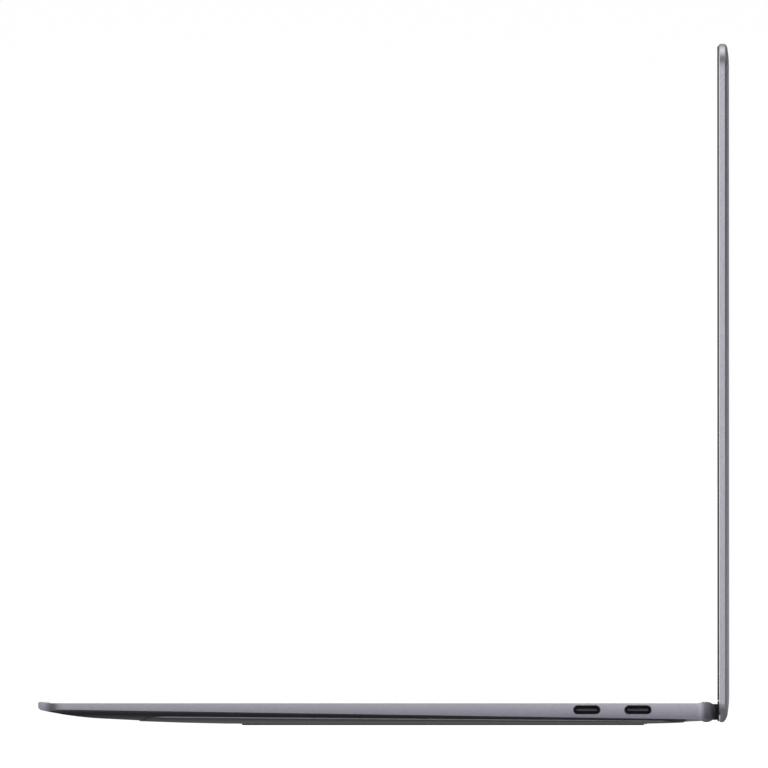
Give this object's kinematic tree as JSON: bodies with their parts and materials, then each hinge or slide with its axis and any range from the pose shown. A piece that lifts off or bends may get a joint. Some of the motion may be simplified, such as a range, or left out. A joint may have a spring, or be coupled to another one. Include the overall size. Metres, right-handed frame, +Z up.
{
  "type": "laptop computer",
  "caption": "Thin metal laptop computer with a lid on friction hinges, moving keys, a clicking touchpad, side ports and spinning fans inside.",
  "frame": {"origin": "centre of the footprint of the laptop standing open at a right angle, on the desk plane under the feet", "axes": "+X to the user's right, -Y towards the user (front edge), +Y towards the hinge, +Z up"},
  "size_m": [0.31, 0.226, 0.2228],
  "materials": {
    "case_aluminium": "bead-blasted anodised, polished chamfers",
    "rubber": "matte",
    "screw_steel": "satin",
    "steel": "satin",
    "keycap": "fine matte",
    "black_plastic": "matte",
    "circuit_board": "solder mask",
    "chip": "moulded",
    "copper": "plain copper",
    "battery_film": "wrapped foil",
    "touchpad_glass": "etched glass",
    "cover_glass": "glossy",
    "panel": "smooth"
  },
  "bodies": {
    "base": {"audio_jack": "black_plastic", "battery_pack": "battery_film", "board_chips": "chip", "bottom_cover": "case_aluminium", "bracket_screws": "screw_steel", "cover_screws": "screw_steel", "drive_module": "chip", "fan_housing_left": "black_plastic", "fan_housing_right": "black_plastic", "fin_stacks": "copper", "heat_pipe": "copper", "hinge_bracket_left": "steel", "hinge_bracket_right": "steel", "key_domes": "rubber", "keyboard_frame": "black_plastic", "keyboard_plate": "steel", "main_board": "circuit_board", "port_boards": "circuit_board", "port_receptacles": "steel", "radio_module": "chip", "rubber_feet": "rubber", "speaker_grilles": "case_aluminium", "speaker_left": "black_plastic", "speaker_right": "black_plastic", "top_case": "case_aluminium", "touchpad_bracket": "steel"},
    "lid": {"lid_cover": "case_aluminium", "lid_gasket": "rubber", "cover_glass": "cover_glass", "display_panel": "panel", "camera_module": "black_plastic", "hinge_arm_left": "steel", "hinge_arm_right": "steel", "hinge_screws": "screw_steel", "hinge_cover": "black_plastic", "display_cable": "panel"},
    "touchpad": {"touchpad_glass": "touchpad_glass", "touchpad_board": "circuit_board"},
    "fan_rotor_left": {"fan_rotor_left": "black_plastic"},
    "fan_rotor_right": {"fan_rotor_right": "black_plastic"},
    "key_escape": {"key_escape": "keycap"},
    "function_row_keys": {"function_row_keys": "keycap"},
    "number_row_keys": {"number_row_keys": "keycap"},
    "key_backspace": {"key_backspace": "keycap"},
    "key_tab": {"key_tab": "keycap"},
    "upper_letter_keys": {"upper_letter_keys": "keycap"},
    "key_caps_lock": {"key_caps_lock": "keycap"},
    "home_letter_keys": {"home_letter_keys": "keycap"},
    "key_enter": {"key_enter": "keycap"},
    "key_left_shift": {"key_left_shift": "keycap"},
    "lower_letter_keys": {"lower_letter_keys": "keycap"},
    "key_right_shift": {"key_right_shift": "keycap"},
    "key_left_control": {"key_left_control": "keycap"},
    "modifier_keys": {"modifier_keys": "keycap"},
    "key_space_bar": {"key_space_bar": "keycap"},
    "key_arrow_left": {"key_arrow_left": "keycap"},
    "key_arrow_up": {"key_arrow_up": "keycap"},
    "key_arrow_down": {"key_arrow_down": "keycap"},
    "key_arrow_right": {"key_arrow_right": "keycap"},
    "power_button": {"power_button": "keycap"}
  },
  "joints": [
    {"name": "lid_hinge", "type": "hinge", "parent": "base", "child": "lid", "pos_m": [0, 0.1055, 0.0043], "axis": [-1, 0, 0], "range_deg": [-90, 45]},
    {"name": "touchpad_click", "type": "hinge", "parent": "base", "child": "touchpad", "pos_m": [0, -0.021, 0.0066], "axis": [1, 0, 0], "range_deg": [0, 0.35], "stiffness_Nm_per_rad": 20, "springref_deg": -0.57},
    {"name": "fan_spin_right", "type": "hinge", "parent": "base", "child": "fan_rotor_right", "pos_m": [0.094, 0.047, 0.003], "axis": [0, 0, 1], "continuous": true},
    {"name": "fan_spin_left", "type": "hinge", "parent": "base", "child": "fan_rotor_left", "pos_m": [-0.094, 0.047, 0.003], "axis": [0, 0, 1], "continuous": true},
    {"name": "function_row_keys_press", "type": "slide", "parent": "base", "child": "function_row_keys", "axis": [0, 0, -1], "range_m": [0, 0.0012], "stiffness_N_per_m": 3600, "springref_m": -0.001},
    {"name": "home_letter_keys_press", "type": "slide", "parent": "base", "child": "home_letter_keys", "axis": [0, 0, -1], "range_m": [0, 0.0012], "stiffness_N_per_m": 3300, "springref_m": -0.001},
    {"name": "arrow_down_press", "type": "slide", "parent": "base", "child": "key_arrow_down", "axis": [0, 0, -1], "range_m": [0, 0.0012], "stiffness_N_per_m": 300, "springref_m": -0.001},
    {"name": "arrow_left_press", "type": "slide", "parent": "base", "child": "key_arrow_left", "axis": [0, 0, -1], "range_m": [0, 0.0012], "stiffness_N_per_m": 300, "springref_m": -0.001},
    {"name": "arrow_right_press", "type": "slide", "parent": "base", "child": "key_arrow_right", "axis": [0, 0, -1], "range_m": [0, 0.0012], "stiffness_N_per_m": 300, "springref_m": -0.001},
    {"name": "arrow_up_press", "type": "slide", "parent": "base", "child": "key_arrow_up", "axis": [0, 0, -1], "range_m": [0, 0.0012], "stiffness_N_per_m": 300, "springref_m": -0.001},
    {"name": "backspace_press", "type": "slide", "parent": "base", "child": "key_backspace", "axis": [0, 0, -1], "range_m": [0, 0.0012], "stiffness_N_per_m": 300, "springref_m": -0.001},
    {"name": "caps_lock_press", "type": "slide", "parent": "base", "child": "key_caps_lock", "axis": [0, 0, -1], "range_m": [0, 0.0012], "stiffness_N_per_m": 300, "springref_m": -0.001},
    {"name": "enter_press", "type": "slide", "parent": "base", "child": "key_enter", "axis": [0, 0, -1], "range_m": [0, 0.0012], "stiffness_N_per_m": 300, "springref_m": -0.001},
    {"name": "escape_press", "type": "slide", "parent": "base", "child": "key_escape", "axis": [0, 0, -1], "range_m": [0, 0.0012], "stiffness_N_per_m": 300, "springref_m": -0.001},
    {"name": "left_control_press", "type": "slide", "parent": "base", "child": "key_left_control", "axis": [0, 0, -1], "range_m": [0, 0.0012], "stiffness_N_per_m": 300, "springref_m": -0.001},
    {"name": "left_shift_press", "type": "slide", "parent": "base", "child": "key_left_shift", "axis": [0, 0, -1], "range_m": [0, 0.0012], "stiffness_N_per_m": 300, "springref_m": -0.001},
    {"name": "right_shift_press", "type": "slide", "parent": "base", "child": "key_right_shift", "axis": [0, 0, -1], "range_m": [0, 0.0012], "stiffness_N_per_m": 300, "springref_m": -0.001},
    {"name": "space_bar_press", "type": "slide", "parent": "base", "child": "key_space_bar", "axis": [0, 0, -1], "range_m": [0, 0.0012], "stiffness_N_per_m": 300, "springref_m": -0.001},
    {"name": "tab_press", "type": "slide", "parent": "base", "child": "key_tab", "axis": [0, 0, -1], "range_m": [0, 0.0012], "stiffness_N_per_m": 300, "springref_m": -0.001},
    {"name": "lower_letter_keys_press", "type": "slide", "parent": "base", "child": "lower_letter_keys", "axis": [0, 0, -1], "range_m": [0, 0.0012], "stiffness_N_per_m": 3000, "springref_m": -0.001},
    {"name": "modifier_keys_press", "type": "slide", "parent": "base", "child": "modifier_keys", "axis": [0, 0, -1], "range_m": [0, 0.0012], "stiffness_N_per_m": 1500, "springref_m": -0.001},
    {"name": "number_row_keys_press", "type": "slide", "parent": "base", "child": "number_row_keys", "axis": [0, 0, -1], "range_m": [0, 0.0012], "stiffness_N_per_m": 3900, "springref_m": -0.001},
    {"name": "power_button_press", "type": "slide", "parent": "base", "child": "power_button", "axis": [0, 0, -1], "range_m": [0, 0.0005], "stiffness_N_per_m": 800, "springref_m": -0.0005},
    {"name": "upper_letter_keys_press", "type": "slide", "parent": "base", "child": "upper_letter_keys", "axis": [0, 0, -1], "range_m": [0, 0.0012], "stiffness_N_per_m": 3900, "springref_m": -0.001}
  ]
}
